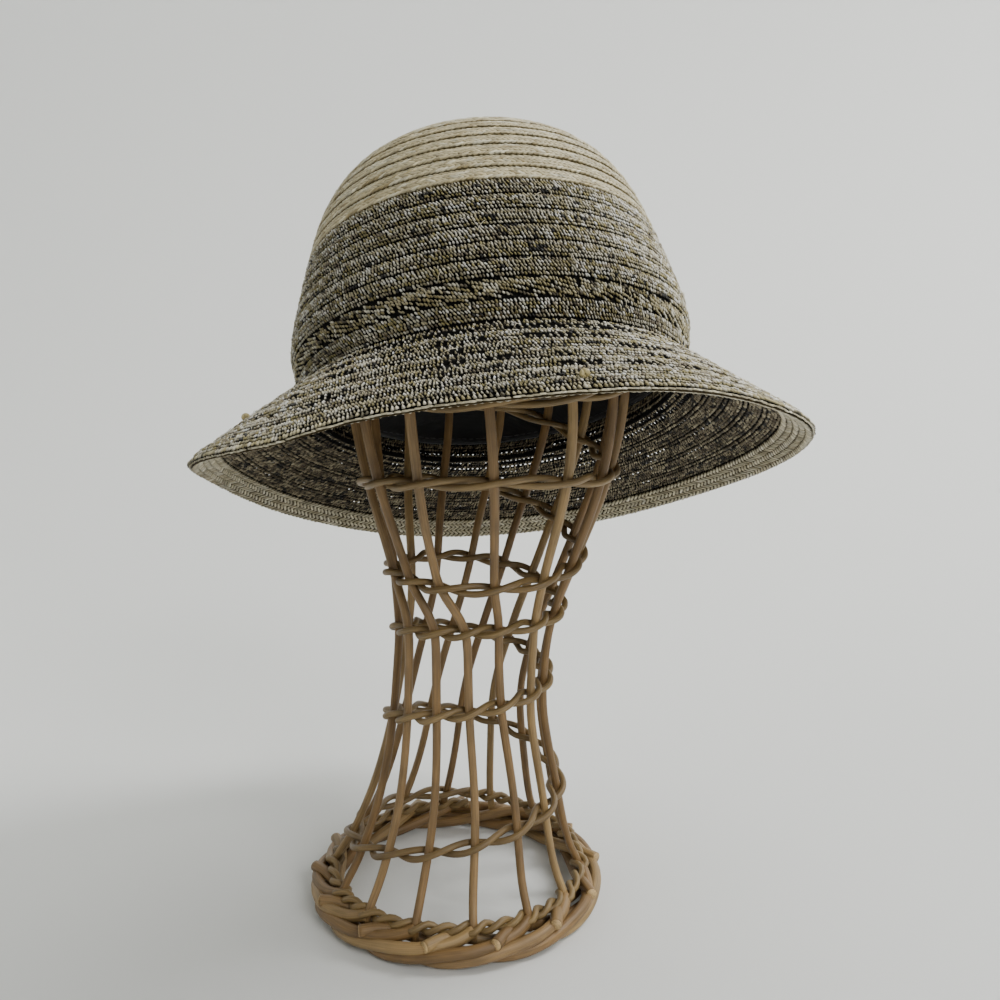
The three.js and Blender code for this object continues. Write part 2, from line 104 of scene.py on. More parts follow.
bpy.ops.object.select_all(action="DESELECT")
bpy.ops.mesh.primitive_plane_add(size=PAPER_WIDTH, location=(0, PAPER_BACK - PAPER_WIDTH / 2, 0))
paper = bpy.context.object
paper.name = "paper"
bpy.ops.object.mode_set(mode="EDIT")
bpy.ops.mesh.select_mode(type="EDGE")
sheet = bmesh.from_edit_mesh(paper.data)
for edge in sheet.edges:
    edge.select_set(all(v.co.y > PAPER_WIDTH / 2 - 0.01 for v in edge.verts))
bmesh.update_edit_mesh(paper.data)
bpy.ops.mesh.extrude_region_move(TRANSFORM_OT_translate={"value": (0, 0, PAPER_RISE)})
bpy.ops.mesh.select_all(action="DESELECT")
sheet = bmesh.from_edit_mesh(paper.data)
for edge in sheet.edges:
    edge.select_set(all(v.co.y > PAPER_WIDTH / 2 - 0.01 and v.co.z < 0.01 for v in edge.verts))
bmesh.update_edit_mesh(paper.data)
bpy.ops.mesh.bevel(offset=PAPER_CURVE, segments=24)
bpy.ops.object.mode_set(mode="OBJECT")
bpy.ops.object.shade_smooth()
matt_paper, paper_shader = new_material("matt_paper")
paper_shader.inputs["Base Color"].default_value = linear(PAPER)
paper_shader.inputs["Roughness"].default_value = 0.9
paper.data.materials.append(matt_paper)

for name, place, aim, size, power in (
    ("panel_right", (1.3, -1.9, 1.5), (0, 0, 0.25), 1.1, 36),
    ("panel_left", (-1.9, -1.3, 1.5), (0, 0, 0.2), 1.8, 7),
    ("panel_top", (0.1, 0.9, 2.6), (0, 0.6, 0), 2.4, 13),
    ("panel_wall", (1.9, 0.3, 2.4), (0.9, 1.5, 1.6), 1.2, 94),
):
    bpy.ops.object.light_add(type="AREA", location=place)
    panel = bpy.context.object
    panel.name = name
    panel.data.size = size
    panel.data.energy = power
    away = panel.location - type(panel.location)(aim)
    panel.rotation_euler = away.to_track_quat("Z", "Y").to_euler()
room = bpy.data.worlds.new("pale_room")
room.use_nodes = True
room.node_tree.nodes["Background"].inputs["Color"].default_value = linear(ROOM)
room.node_tree.nodes["Background"].inputs["Strength"].default_value = 0.63
bpy.context.scene.world = room

# Side of the crown. Eight rows of knotted raffia braid, black with cream, beige and olive, are
# sewn edge to edge over a block and then steamed oval. Each row is a dark ground with slanted
# knots on it; where the crown turns in above the brim the braid is stretched and shows darker.
ROOT_RADIUS = 89.5
HEAD_OVAL = 1.07
CROWN_HEIGHT = 119.5
TWEED_HEIGHT = 64.0
CROWN_SADDLE = 1.5
ROW_WIDTH = 8.5
ROW_SWELL = 1.25
BRAID_WALL = 1.9
BRIM_RADIUS = 140.5
BRIM_DROP = 38.0
BRIM_SHIFT = (-0.4, 2.4)
BRIM_DIP = (9.5, 7.2)
BRIM_SADDLE = 5.5
BRIM_CURL = 1.02
HAT_ROOT_AT = np.array([-1.9, 11.9, 244.0])
HAT_TILT = (-22.5, -6.0)
GAP = 0.3
CROWN_OUTLINE = (
    (0.000, 1.000), (0.243, 0.993), (0.455, 0.971), (0.617, 0.930), (0.728, 0.868), (0.809, 0.790),
    (0.880, 0.680), (0.940, 0.533), (0.996, 0.370), (1.044, 0.203), (1.034, 0.100), (1.000, 0.000),
)
EDGE_WAVES = (
    (-180, 0.03), (-150, -0.03), (-120, 0.00), (-90, 0.07), (-62, -0.07), (-36, -0.14), (-18, 0.00),
    (2, 0.09), (28, 0.15), (58, 0.02), (90, 0.02), (135, 0.11), (180, 0.03),
)
KNOT_PLACES = (0.14, 0.32, 0.5, 0.68, 0.86)
KNOT_PITCH = 1.52
KNOT_SIZE = (2.2, 0.98, 1.05)
KNOT_SLANT = 58
# Painted shade on the tweed knots: shares that darken their tips and flanks.
KNOT_PAINTED_SHADE = (0.08, 0.24)
KNOT_TONES = (
    ("#f4efe2", 0.15), ("#d6cfb8", 0.33), ("#b3a987", 0.27), ("#a39766", 0.12), ("#8f846e", 0.10),
    ("#3c3a36", 0.03),
)
KNOT_SINK = 0.65
TONE_RUN = (1, 5)
TONE_SPREAD = 0.13
STRAY_TONES = 0.3
GROUND_TONE = "#0b0a08"
GROUND_SWELL = 0.4
chance = np.random.default_rng(11)


def read_table(rows, at):
    """Smooth reading of a table of pairs, held at both ends."""
    xs, ys = np.array(rows, float).T
    at = np.clip(at, xs[0], xs[-1])
    i = np.clip(np.searchsorted(xs, at, side="right") - 1, 0, len(xs) - 2)
    before, after = np.maximum(i - 1, 0), np.minimum(i + 2, len(xs) - 1)
    width, rise = xs[i + 1] - xs[i], ys[i + 1] - ys[i]
    start = (ys[i + 1] - ys[before]) / (xs[i + 1] - xs[before]) * width
    end = (ys[after] - ys[i]) / (xs[after] - xs[i]) * width
    share = (at - xs[i]) / width
    bend = 3 * rise - 2 * start - end + share * (start + end - 2 * rise)
    return ys[i] + share * (start + share * bend)


def draw_outline(points):
    """A smooth outline through points: shares of its length, places and directions."""
    points = np.array(points, float)
    padded = np.vstack([points[:1], points, points[-1:]])
    t = np.linspace(0, len(points) - 1, 3001)
    i = np.minimum(t.astype(int), len(points) - 2)
    t = (t - i)[:, None]
    p0, p1, p2, p3 = (padded[i + k] for k in range(4))
    v1, v2 = (p2 - p0) / 2, (p3 - p1) / 2
    place = (2 * p1 - 2 * p2 + v1 + v2) * t ** 3 + (3 * p2 - 3 * p1 - 2 * v1 - v2) * t ** 2 + v1 * t + p1
    step = np.hypot(*np.diff(place, axis=0).T)
    length = np.append(0, np.cumsum(step))
    way = np.gradient(place, axis=0)
    way /= np.hypot(*way.T)[:, None]
    return {"share": length / length[-1], "place": place, "way": way, "length": length[-1]}


def share_at_height(outline, height):
    """Share of an outline's length at which it has come down to a height."""
    return float(np.interp(-height, -outline["place"][:, 1], outline["share"]))


hat_turn = np.array(
    Matrix.Rotation(math.radians(HAT_TILT[1]), 3, "Y") @ Matrix.Rotation(math.radians(HAT_TILT[0]), 3, "X")
)


def on_hat(outline, share, angle, out):
    """Points of the hat in mm: share down an outline, angle round from the front, out from it."""
    share, angle, out = np.broadcast_arrays(*(np.asarray(v, float) for v in (share, angle, out)))
    place = [np.interp(share, outline["share"], outline["place"][:, k]) for k in range(2)]
    way = [np.interp(share, outline["share"], outline["way"][:, k]) for k in range(2)]
    over = np.maximum(share - 1, 0) * outline["length"]
    radius = place[0] - way[1] * out + way[0] * over
    z = place[1] + way[0] * out + way[1] * over
    x, y = radius * np.sin(angle), -radius * np.cos(angle)
    spread = np.maximum(0, (radius - ROOT_RADIUS) / (BRIM_RADIUS - ROOT_RADIUS))
    brim = np.where(z > 0, 0, spread)
    crown = np.minimum(1, radius / ROOT_RADIUS)
    saddle = CROWN_SADDLE * crown ** 2 + (BRIM_SADDLE - CROWN_SADDLE) * brim
    degrees = (np.degrees(angle) + 180) % 360 - 180
    wave = read_table(EDGE_WAVES, degrees) * BRIM_DROP
    dip = BRIM_DIP[0] * np.cos(angle) + BRIM_DIP[1] * np.sin(angle)
    shaped = np.stack([
        x + BRIM_SHIFT[0] * brim,
        y * HEAD_OVAL + BRIM_SHIFT[1] * brim,
        z - saddle * np.cos(2 * angle) - dip * brim + wave * brim ** 2,
    ], axis=-1)
    return shaped @ hat_turn.T + HAT_ROOT_AT + middle


def mesh_piece(name, points, faces, tones=None, flow=None):
    """A piece from points in mm, with the tone and the fibre's run kept at each point."""
    mesh = bpy.data.meshes.new(name)
    mesh.from_pydata(np.asarray(points) * MM, [], faces)
    mesh.shade_smooth()
    if tones is not None:
        mesh.attributes.new("tone", "FLOAT_COLOR", "POINT")
        mesh.attributes["tone"].data.foreach_set("color", np.asarray(tones, np.float32).ravel())
    if flow is not None:
        mesh.attributes.new("flow", "FLOAT_VECTOR", "POINT")
        mesh.attributes["flow"].data.foreach_set("vector", np.asarray(flow, np.float32).ravel())
    piece = bpy.data.objects.new(name, mesh)
    bpy.context.scene.collection.objects.link(piece)
    return piece


def finish_with(piece, kind, **settings):
    """Adds one modifier to a piece and applies it."""
    bpy.ops.object.select_all(action="DESELECT")
    piece.select_set(True)
    bpy.context.view_layer.objects.active = piece
    modifier = piece.modifiers.new(kind.lower(), kind)
    for setting, value in settings.items():
        setattr(modifier, setting, value)
    bpy.ops.object.modifier_apply(modifier=modifier.name)


def braid_ground(name, outline, shares, outs, around, tones, wall, holes=None):
    """The ground of sewn rows: one grid round the hat, with holes left out, given its wall."""
    angle = np.linspace(0, 2 * math.pi, around, endpoint=False)
    points = on_hat(outline, np.array(shares)[:, None], angle[None, :], np.array(outs)[:, None])
    flow = np.stack(np.broadcast_arrays(
        angle[None, :] * ROOT_RADIUS, np.array(shares)[:, None] * outline["length"], 0.0,
    ), axis=-1)
    row, column = np.meshgrid(np.arange(len(shares) - 1), np.arange(around), indexing="ij")
    if holes is not None:
        kept = ~holes
        row, column = row[kept], column[kept]
    row, column = row.ravel(), column.ravel()
    beside = (column + 1) % around
    faces = np.stack([
        row * around + column, (row + 1) * around + column,
        (row + 1) * around + beside, row * around + beside,
    ], axis=-1)
    colours = np.repeat(np.array(tones)[:, None, :], around, axis=1)
    ground = mesh_piece(name, points.reshape(-1, 3), faces, colours.reshape(-1, 4), flow.reshape(-1, 3))
    finish_with(ground, "SOLIDIFY", thickness=wall * MM, offset=-1, use_even_offset=False)
    return ground


# Painted shade on every stitch: its two tips and its flanks are darkened by these shares where they dip into
# the ground, and its ridge keeps its full tone.
STITCH_PAINTED_SHADE = (0.15, 0.42)
STITCH = np.array([
    (-0.50, 0.0, -0.15), (-0.25, 0.0, 0.5), (-0.25, -0.5, -0.2), (-0.25, 0.5, -0.2),
    (0.25, 0.0, 0.5), (0.25, -0.5, -0.2), (0.25, 0.5, -0.2), (0.50, 0.0, -0.15),
])
STITCH_FACES = np.array([
    (7, 6, 4), (7, 4, 5), (7, 5, 6), (0, 1, 3), (0, 2, 1), (0, 3, 2),
    (3, 1, 4), (3, 4, 6), (1, 2, 5), (1, 5, 4), (2, 3, 6), (2, 6, 5),
])


def stitches_at(outline, share, angle, out, size, slant, tones, side=1, ends=STITCH_PAINTED_SHADE):
    """Lens-shaped stitches on the hat: each is turned by its slant from the way round it."""
    nudge = 0.02
    centre = on_hat(outline, share, angle, out)
    along = on_hat(outline, share, angle + nudge, out) - on_hat(outline, share, angle - nudge, out)
    up = on_hat(outline, share, angle, out + 1) - centre
    along /= np.linalg.norm(along, axis=1)[:, None]
    up /= np.linalg.norm(up, axis=1)[:, None]
    across = np.cross(along, up)
    turn = np.radians(slant)[:, None]
    length = np.cos(turn) * along + np.sin(turn) * across
    up = up * side
    width = np.cross(up, length)
    count = len(share)
    local = STITCH[None] * size[:, None, :]
    points = (
        centre[:, None] + local[..., :1] * length[:, None] + local[..., 1:2] * width[:, None]
        + local[..., 2:] * up[:, None]
    )
    faces = STITCH_FACES[None] + 8 * np.arange(count)[:, None, None]
    # Painted shade: each stitch's tips and flanks are darkened, and its ridge is left at full tone.
    tip_painted_shade, flank_painted_shade = ends
    painted_stitch_shade = np.array([tip_painted_shade, 1, flank_painted_shade, flank_painted_shade, 1, flank_painted_shade, flank_painted_shade, tip_painted_shade])
    colours = np.repeat(tones[:, None, :], 8, axis=1) * painted_stitch_shade[None, :, None]
    colours[..., 3] = 1
    flow = local + chance.uniform(0, 400, (count, 1, 3))
    return points.reshape(-1, 3), faces.reshape(-1, 3), colours.reshape(-1, 4), flow.reshape(-1, 3)


def join_parts(parts):
    """Several lots of points, faces, tones and runs as one lot."""
    starts = np.cumsum([0] + [len(part[0]) for part in parts[:-1]])
    faces = np.vstack([part[1] + start for part, start in zip(parts, starts)])
    points, tones, flow = (np.vstack([part[kind] for part in parts]) for kind in (0, 2, 3))
    return points, faces, tones, flow


def yarn_tones(count, tones):
    """Tones along one line of stitches, in short runs as a space-dyed yarn gives them."""
    colours = np.array([linear(colour) for colour, weight in tones])
    weights = np.array([weight for colour, weight in tones])
    runs = chance.integers(*TONE_RUN, count)
    picked = chance.choice(len(tones), count, p=weights / weights.sum())
    line = np.repeat(colours[picked], runs, axis=0)[:count]
    stray = chance.random(count) < STRAY_TONES
    line[stray] = colours[chance.choice(len(tones), stray.sum(), p=weights / weights.sum())]
    line = line * (1 + chance.normal(0, TONE_SPREAD, (count, 1)))
    return np.clip(line, 0, 1)


def round_length(outline, share):
    """Length round the hat at a share down an outline, in mm."""
    ring = on_hat(outline, share, np.linspace(0, 2 * math.pi, 97), 0.0)
    return np.linalg.norm(np.diff(ring, axis=0), axis=1).sum()


def knot_line(
    outline, share, out, size, slant, pitch, tones, side=1, holes=None, loose=9, ends=STITCH_PAINTED_SHADE,
):
    """One line of knots right round the hat, each a little off its place, with none over a hole."""
    around = round_length(outline, share)
    count = int(around / pitch)
    angle = (np.arange(count) + chance.random() + chance.normal(0, 0.1, count)) * 2 * math.pi / count
    shares = share + chance.normal(0, 0.09, count) / outline["length"]
    sizes = np.array(size)[None, :] * chance.normal(1, [0.13, 0.12, 0.12], (count, 3)).clip(0.6, 1.5)
    slants = slant + chance.normal(0, loose, count)
    outs = out + chance.normal(0, 0.09, count)
    colours = yarn_tones(count, tones)
    kept = np.ones(count, bool)
    if holes is not None:
        ground_shares, open_cells = holes
        rows, columns = open_cells.shape
        turn = np.radians(slants)
        for along in (-0.28, 0.0, 0.28):
            at_share = shares + along * size[0] * np.sin(turn) / outline["length"]
            at_angle = angle + along * size[0] * np.cos(turn) * 2 * math.pi / around
            row = np.clip(np.searchsorted(ground_shares, at_share) - 1, 0, rows - 1)
            column = (at_angle / (2 * math.pi) * columns).astype(int) % columns
            kept &= ~open_cells[row, column]
    return stitches_at(
        outline, shares[kept], angle[kept], outs[kept], sizes[kept], slants[kept], colours[kept], side, ends,
    )


crown_outline = draw_outline([(r * ROOT_RADIUS, h * CROWN_HEIGHT) for r, h in CROWN_OUTLINE])
seam_share = share_at_height(crown_outline, TWEED_HEIGHT)
side_rows = round((1 - seam_share) * crown_outline["length"] / ROW_WIDTH)


def row_swell(place, swell=ROW_SWELL):
    """How far a row stands out of its seams, at a place across it from 0 to 1."""
    return swell * (1 - np.abs(2 * place - 1) ** 2.4)


def tweed_knots(outline, start, end, rows, made, slant, holes=None):
    """Lines of knots on the outer face of tweed braid, for the sewn rows that are made."""
    lots = []
    for row in made:
        lean = chance.normal(0, 3)
        for place in KNOT_PLACES:
            share = start + (end - start) * (row + place) / rows
            out = row_swell(place) - KNOT_SINK
            turned = slant + lean + chance.normal(0, 3)
            lots.append(knot_line(
                outline, share, out, KNOT_SIZE, turned, KNOT_PITCH, KNOT_TONES, holes=holes, ends=KNOT_PAINTED_SHADE,
            ))
    return join_parts(lots)


def stretched_row(outline, start, end, tones):
    """A row pulled open: its lines of knots part and run aslant over it with dark gaps between."""
    around = round_length(outline, (start + end) / 2)
    count = int(around / CHAIN_PITCH)
    lots = []
    for chain in range(CHAINS):
        angle = (np.arange(count) + chance.random() + chance.normal(0, 0.1, count)) * 2 * math.pi / count
        place = chain / CHAINS + CHAIN_TURNS * angle / (2 * math.pi) + 0.05 * np.sin(angle * 29 + chain)
        place = 0.05 + 0.9 * (place % 1)
        share = start + (end - start) * place
        sizes = np.array(CHAIN_SIZE)[None, :] * chance.normal(1, 0.12, (count, 3)).clip(0.6, 1.5)
        out = row_swell(place) - CHAIN_SINK + chance.normal(0, 0.1, count)
        slant = CHAIN_SLANT + chance.normal(0, 9, count)
        colours = yarn_tones(count, tones)
        kept = chance.random(count) > CHAIN_MISSING
        lots.append(stitches_at(
            outline, share[kept], angle[kept], out[kept], sizes[kept], slant[kept], colours[kept],
        ))
    return join_parts(lots)


def inside_knots(outline, start, end, rows, made, out, holes):
    """Lines of smaller, browner knots on the inner face of sewn rows."""
    lots = []
    for row in made:
        for place in INSIDE_PLACES:
            lots.append(knot_line(
                outline, start + (end - start) * (row + place) / rows, out - INSIDE_SWELL * row_swell(place),
                INSIDE_SIZE, INSIDE_SLANT, INSIDE_PITCH, INSIDE_TONES, side=-1, holes=holes,
                loose=INSIDE_LOOSE, ends=INSIDE_PAINTED_SHADE,
            ))
    return join_parts(lots)


# Dyed raffia leaf in the shade of the knots: matt, with fibres about 1 mm apart that break it up.
raffia_ground, ground_shader = new_material("black_raffia_ground")
ground_tone = add_node(raffia_ground, "ShaderNodeAttribute", attribute_name="tone")
ground_run = add_node(raffia_ground, "ShaderNodeAttribute", attribute_name="flow")
ground_fibres = add_node(
    raffia_ground, "ShaderNodeTexNoise",
    {"Vector": ground_run.outputs["Vector"], "Scale": 0.9, "Detail": 3.0, "Roughness": 0.6},
)
ground_shade = add_node(
    raffia_ground, "ShaderNodeMapRange",
    {"Value": ground_fibres.outputs["Fac"], "From Min": 0.3, "From Max": 0.7, "To Min": 0.6, "To Max": 1.5},
)
ground_colour = add_node(
    raffia_ground, "ShaderNodeVectorMath",
    {0: ground_tone.outputs["Color"], "Scale": ground_shade.outputs["Result"]}, operation="SCALE",
)
raffia_ground.node_tree.links.new(ground_colour.outputs["Vector"], ground_shader.inputs["Base Color"])
ground_bump = add_node(
    raffia_ground, "ShaderNodeBump",
    {"Height": ground_fibres.outputs["Fac"], "Strength": 0.5, "Distance": 0.0003},
)
raffia_ground.node_tree.links.new(ground_bump.outputs["Normal"], ground_shader.inputs["Normal"])
ground_shader.inputs["Roughness"].default_value = 0.9
ground_shader.inputs["Specular IOR Level"].default_value = 0.15

# Raffia twisted into yarn: a soft, dry gloss, with streaks 3 mm long and 0.4 mm wide. Real fibres
# are finer, and are drawn as coarse as they need to be to show.
raffia_yarn, yarn_shader = new_material("twisted_raffia_yarn")
yarn_tone = add_node(raffia_yarn, "ShaderNodeAttribute", attribute_name="tone")
yarn_run = add_node(raffia_yarn, "ShaderNodeAttribute", attribute_name="flow")
yarn_stretch = add_node(
    raffia_yarn, "ShaderNodeMapping", {"Vector": yarn_run.outputs["Vector"], "Scale": (0.35, 2.4, 2.4)},
)
yarn_fibres = add_node(
    raffia_yarn, "ShaderNodeTexNoise",
    {"Vector": yarn_stretch.outputs["Vector"], "Scale": 1.0, "Detail": 2.0},
)
yarn_shade = add_node(
    raffia_yarn, "ShaderNodeMapRange",
    {"Value": yarn_fibres.outputs["Fac"], "From Min": 0.3, "From Max": 0.7, "To Min": 0.72, "To Max": 1.18},
)
yarn_colour = add_node(
    raffia_yarn, "ShaderNodeVectorMath",
    {0: yarn_tone.outputs["Color"], "Scale": yarn_shade.outputs["Result"]}, operation="SCALE",
)
raffia_yarn.node_tree.links.new(yarn_colour.outputs["Vector"], yarn_shader.inputs["Base Color"])
yarn_bump = add_node(
    raffia_yarn, "ShaderNodeBump",
    {"Height": yarn_fibres.outputs["Fac"], "Strength": 0.4, "Distance": 0.0002},
)
raffia_yarn.node_tree.links.new(yarn_bump.outputs["Normal"], yarn_shader.inputs["Normal"])
yarn_shader.inputs["Roughness"].default_value = 0.5
yarn_shader.inputs["IOR"].default_value = 1.5

PLAIN_STEPS = (0, 1 / 3, 2 / 3)
HOLE_STEPS = (0, 1 / 6, 1 / 3, 2 / 3, 5 / 6)
SIDE_AROUND = 400
CROWN_PAST_ROOT = 2.2
CROWN_ROOT_OUT = -0.3
CHAINS = 5
CHAIN_MISSING = 0.08
CHAIN_TURNS = 15
CHAIN_PITCH = 1.55
CHAIN_SIZE = (2.3, 1.05, 1.0)
CHAIN_SLANT = 50
CHAIN_SINK = 0.75
SIDE_GROUND_SINK = 1.0
SIDE_GROUND_WALL = 0.8
STRETCHED_TONES = (("#e2dcc6", 0.25), ("#bdb28d", 0.40), ("#9c9066", 0.25), ("#6a6250", 0.10))
stretched = side_rows - 2
side_steps = np.array([
    row + step for row in range(side_rows)
    for step in (HOLE_STEPS if row == side_rows - 1 else PLAIN_STEPS)
] + [side_rows])
side_shares = seam_share + (1 - seam_share) * side_steps / side_rows
side_shares[-1] += CROWN_PAST_ROOT / crown_outline["length"]
side_outs = row_swell(side_steps % 1, GROUND_SWELL) - SIDE_GROUND_SINK
side_outs[-1] = CROWN_ROOT_OUT
side_cells = np.zeros((len(side_steps) - 1, SIDE_AROUND), bool)
side_cells[-2, ::2] = True
side_ground = braid_ground(
    "crown_side_ground", crown_outline, side_shares, side_outs, SIDE_AROUND,
    [linear(GROUND_TONE)] * len(side_steps), SIDE_GROUND_WALL, side_cells,
)
side_ground.data.materials.append(raffia_ground)
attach(side_ground, "root")
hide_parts("crown_side")

row_share = (1 - seam_share) / side_rows
tight_rows = [row for row in range(side_rows) if row != stretched]
side_knots = mesh_piece("crown_side_knots", *join_parts([
    tweed_knots(crown_outline, seam_share, 1.0, side_rows, tight_rows, KNOT_SLANT),
    stretched_row(
        crown_outline, seam_share + row_share * stretched, seam_share + row_share * (stretched + 1),
        STRETCHED_TONES,
    ),
]))
side_knots.data.materials.append(raffia_yarn)
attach(side_knots, "root")
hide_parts("crown_side")

INSIDE_PLACES = (0.08, 0.25, 0.5, 0.75, 0.92)
INSIDE_PITCH = 1.6
INSIDE_SIZE = (2.3, 1.05, 0.7)
INSIDE_SLANT = 50
INSIDE_SWELL = 0.4
INSIDE_LOOSE = 16
# Painted shade on the inner-face knots: shares that darken their tips and flanks.
INSIDE_PAINTED_SHADE = (0.4, 0.7)
SIDE_INSIDE_OUT = -1.75
INSIDE_TONES = (("#b3a78a", 0.26), ("#8b7f66", 0.36), ("#665b47", 0.26), ("#2e2921", 0.12))
side_inside = mesh_piece("crown_side_inside_knots", *inside_knots(
    crown_outline, seam_share, 1.0, side_rows, [side_rows - 1], SIDE_INSIDE_OUT,
    (side_shares, side_cells),
))
side_inside.data.materials.append(raffia_yarn)
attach(side_inside, "root")
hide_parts("crown_side")

# Tip of the crown. Natural raffia, plaited flat and sewn round and round from the middle of the
# tip, each row lapped over the edge of the one below, so that a dark line runs under every row: the
# lap's own shadow, deepened by painted shade on the ground in each seam.
TIP_ROW_WIDTH = 7.3
TIP_COLUMNS = 4
TIP_AROUND = 160
TIP_COVERED = 0.14
# Painted shade on the plait strands: shares that darken their tips and flanks.
PLAIT_PAINTED_SHADE = (0.62, 0.78)
STRAND_SIZE = (5.2, 2.0, 0.75)
STRAND_SLANT = 19
TIP_TONES = (("#c2b692", 0.45), ("#b6a984", 0.33), ("#d3cbae", 0.16), ("#9f9068", 0.06))
TIP_GROUND = "#84744f"
# Painted shade: the dark colour of the ground in each seam, under the lap of the row above.
TIP_SEAM_PAINTED_SHADE = "#1f180d"
TIP_GROUND_SINK = 0.35
TIP_GROUND_WALL = 1.2
STRAND_SINK = 0.1
LEAST_STRANDS = 9
STRANDS_LAP = 2.2


def lapped_row(place):
    """How far a lapped row stands out, from its covered upper edge to its free lower one."""
    return read_table(((0, -0.8), (0.1, -0.3), (0.3, 0.45), (0.6, 0.8), (0.85, 0.8), (1, 0.4)), place)


tip_rows = round(seam_share * crown_outline["length"] / TIP_ROW_WIDTH)
TIP_STEPS = (0.0, 0.1, 0.35, 0.75, 0.999)
tip_places = np.array([row + step for row in range(tip_rows) for step in TIP_STEPS])
tip_shares = seam_share * tip_places / tip_rows
# The ground at the first two steps of each row, in the seam under the lap, takes the painted seam shade; the
# rest takes the ground colour.
tip_tones = np.array([
    linear(TIP_SEAM_PAINTED_SHADE if step in (TIP_STEPS[0], TIP_STEPS[1]) else TIP_GROUND)
    for row in range(tip_rows) for step in TIP_STEPS
])
tip_ground = braid_ground(
    "crown_tip_ground", crown_outline, tip_shares[1:],
    lapped_row(tip_places[1:] % 1) - TIP_GROUND_SINK, TIP_AROUND, tip_tones[1:], TIP_GROUND_WALL,
)
tip_ground.data.materials.append(raffia_ground)
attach(tip_ground, "root")
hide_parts("crown_tip")


def plait(outline, start, end, columns, out, size, slant, pitch, tones, side=1, ends=PLAIT_PAINTED_SHADE):
    """A flat plait right round the hat: columns of strands, all in step, that meet in V's."""
    count = int(round_length(outline, (start + end) / 2) / pitch)
    phase = chance.random()
    lots = []
    for column in range(columns):
        place = (column + 0.5) / columns
        angle = (np.arange(count) + phase + chance.normal(0, 0.04, count)) * 2 * math.pi / count
        share = np.full(count, start + (end - start) * place)
        sizes = np.array(size)[None, :] * chance.normal(1, 0.07, (count, 3)).clip(0.7, 1.3)
        lean = (slant if column % 2 == 0 else -slant) + chance.normal(0, 3, count)
        outs = out(place) + chance.normal(0, 0.05, count)
        lots.append(stitches_at(
            outline, share, angle, outs, sizes, lean, yarn_tones(count, tones), side, ends,
        ))
    return join_parts(lots)


tip_lots = []
for row in range(tip_rows):
    start, end = (seam_share * (row + place) / tip_rows for place in (TIP_COVERED, 1.0))
    size = np.array(STRAND_SIZE)
    size[0] = min(size[0], round_length(crown_outline, end) / LEAST_STRANDS)
    tip_lots.append(plait(
        crown_outline, start, end, TIP_COLUMNS,
        lambda place: lapped_row(TIP_COVERED + (1 - TIP_COVERED) * place) - STRAND_SINK,
        size, STRAND_SLANT, size[0] / STRANDS_LAP, TIP_TONES,
    ))
tip_strands = mesh_piece("crown_tip_plait", *join_parts(tip_lots))
tip_strands.data.materials.append(raffia_yarn)
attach(tip_strands, "root")
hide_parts("crown_tip")

# Brim. The same tweed braid goes on in seven widening rows that drop and wave. It is seen from
# both sides, so knots stand on both faces of the ground, and daylight comes through small gaps
# between the lines of knots, most of all next to the crown.
BRIM_CURVE_STEPS = 8
brim_shares = np.arange(BRIM_CURVE_STEPS + 1) / BRIM_CURVE_STEPS
brim_outline = draw_outline(np.stack([
    ROOT_RADIUS + (BRIM_RADIUS - ROOT_RADIUS) * brim_shares,
    -GAP - (BRIM_DROP - GAP) * brim_shares ** BRIM_CURL,
], axis=-1))
brim_rows = round(brim_outline["length"] / ROW_WIDTH)
BRIM_AROUND = 470
BRIM_EDGE_INSET = 1.3
HOLES_NEAR_CROWN = 0.95
HOLES_OUTSIDE = 0.32
HOLE_RUN = 5
FACED_ROWS = 1.7
BRIM_GROUND_SINK = 0.95
BRIM_GROUND_WALL = 0.7
BRIM_UNDER_OUT = -1.45
brim_steps = np.array([row + step for row in range(brim_rows) for step in HOLE_STEPS] + [brim_rows])
brim_shares = brim_steps / brim_rows * (1 - BRIM_EDGE_INSET / brim_outline["length"])
cell_rows = np.arange(len(brim_steps) - 1)[:, None]
every_other = (np.arange(BRIM_AROUND) + cell_rows) % 2 == 0
runs = np.repeat(chance.random((len(cell_rows), BRIM_AROUND // HOLE_RUN)), HOLE_RUN, axis=1)
near_crown = cell_rows < len(HOLE_STEPS)
brim_cells = every_other & (runs < np.where(near_crown, HOLES_NEAR_CROWN, HOLES_OUTSIDE))
brim_cells &= np.isin(cell_rows % len(HOLE_STEPS), (1, 3))
brim_cells &= cell_rows < (brim_rows - FACED_ROWS) * len(HOLE_STEPS)
brim_ground = braid_ground(
    "brim_ground", brim_outline, brim_shares,
    row_swell(brim_steps % 1, GROUND_SWELL) - BRIM_GROUND_SINK, BRIM_AROUND,
    [linear(GROUND_TONE)] * len(brim_steps), BRIM_GROUND_WALL, brim_cells,
)
brim_ground.data.materials.append(raffia_ground)
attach(brim_ground, "root")
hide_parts("brim")

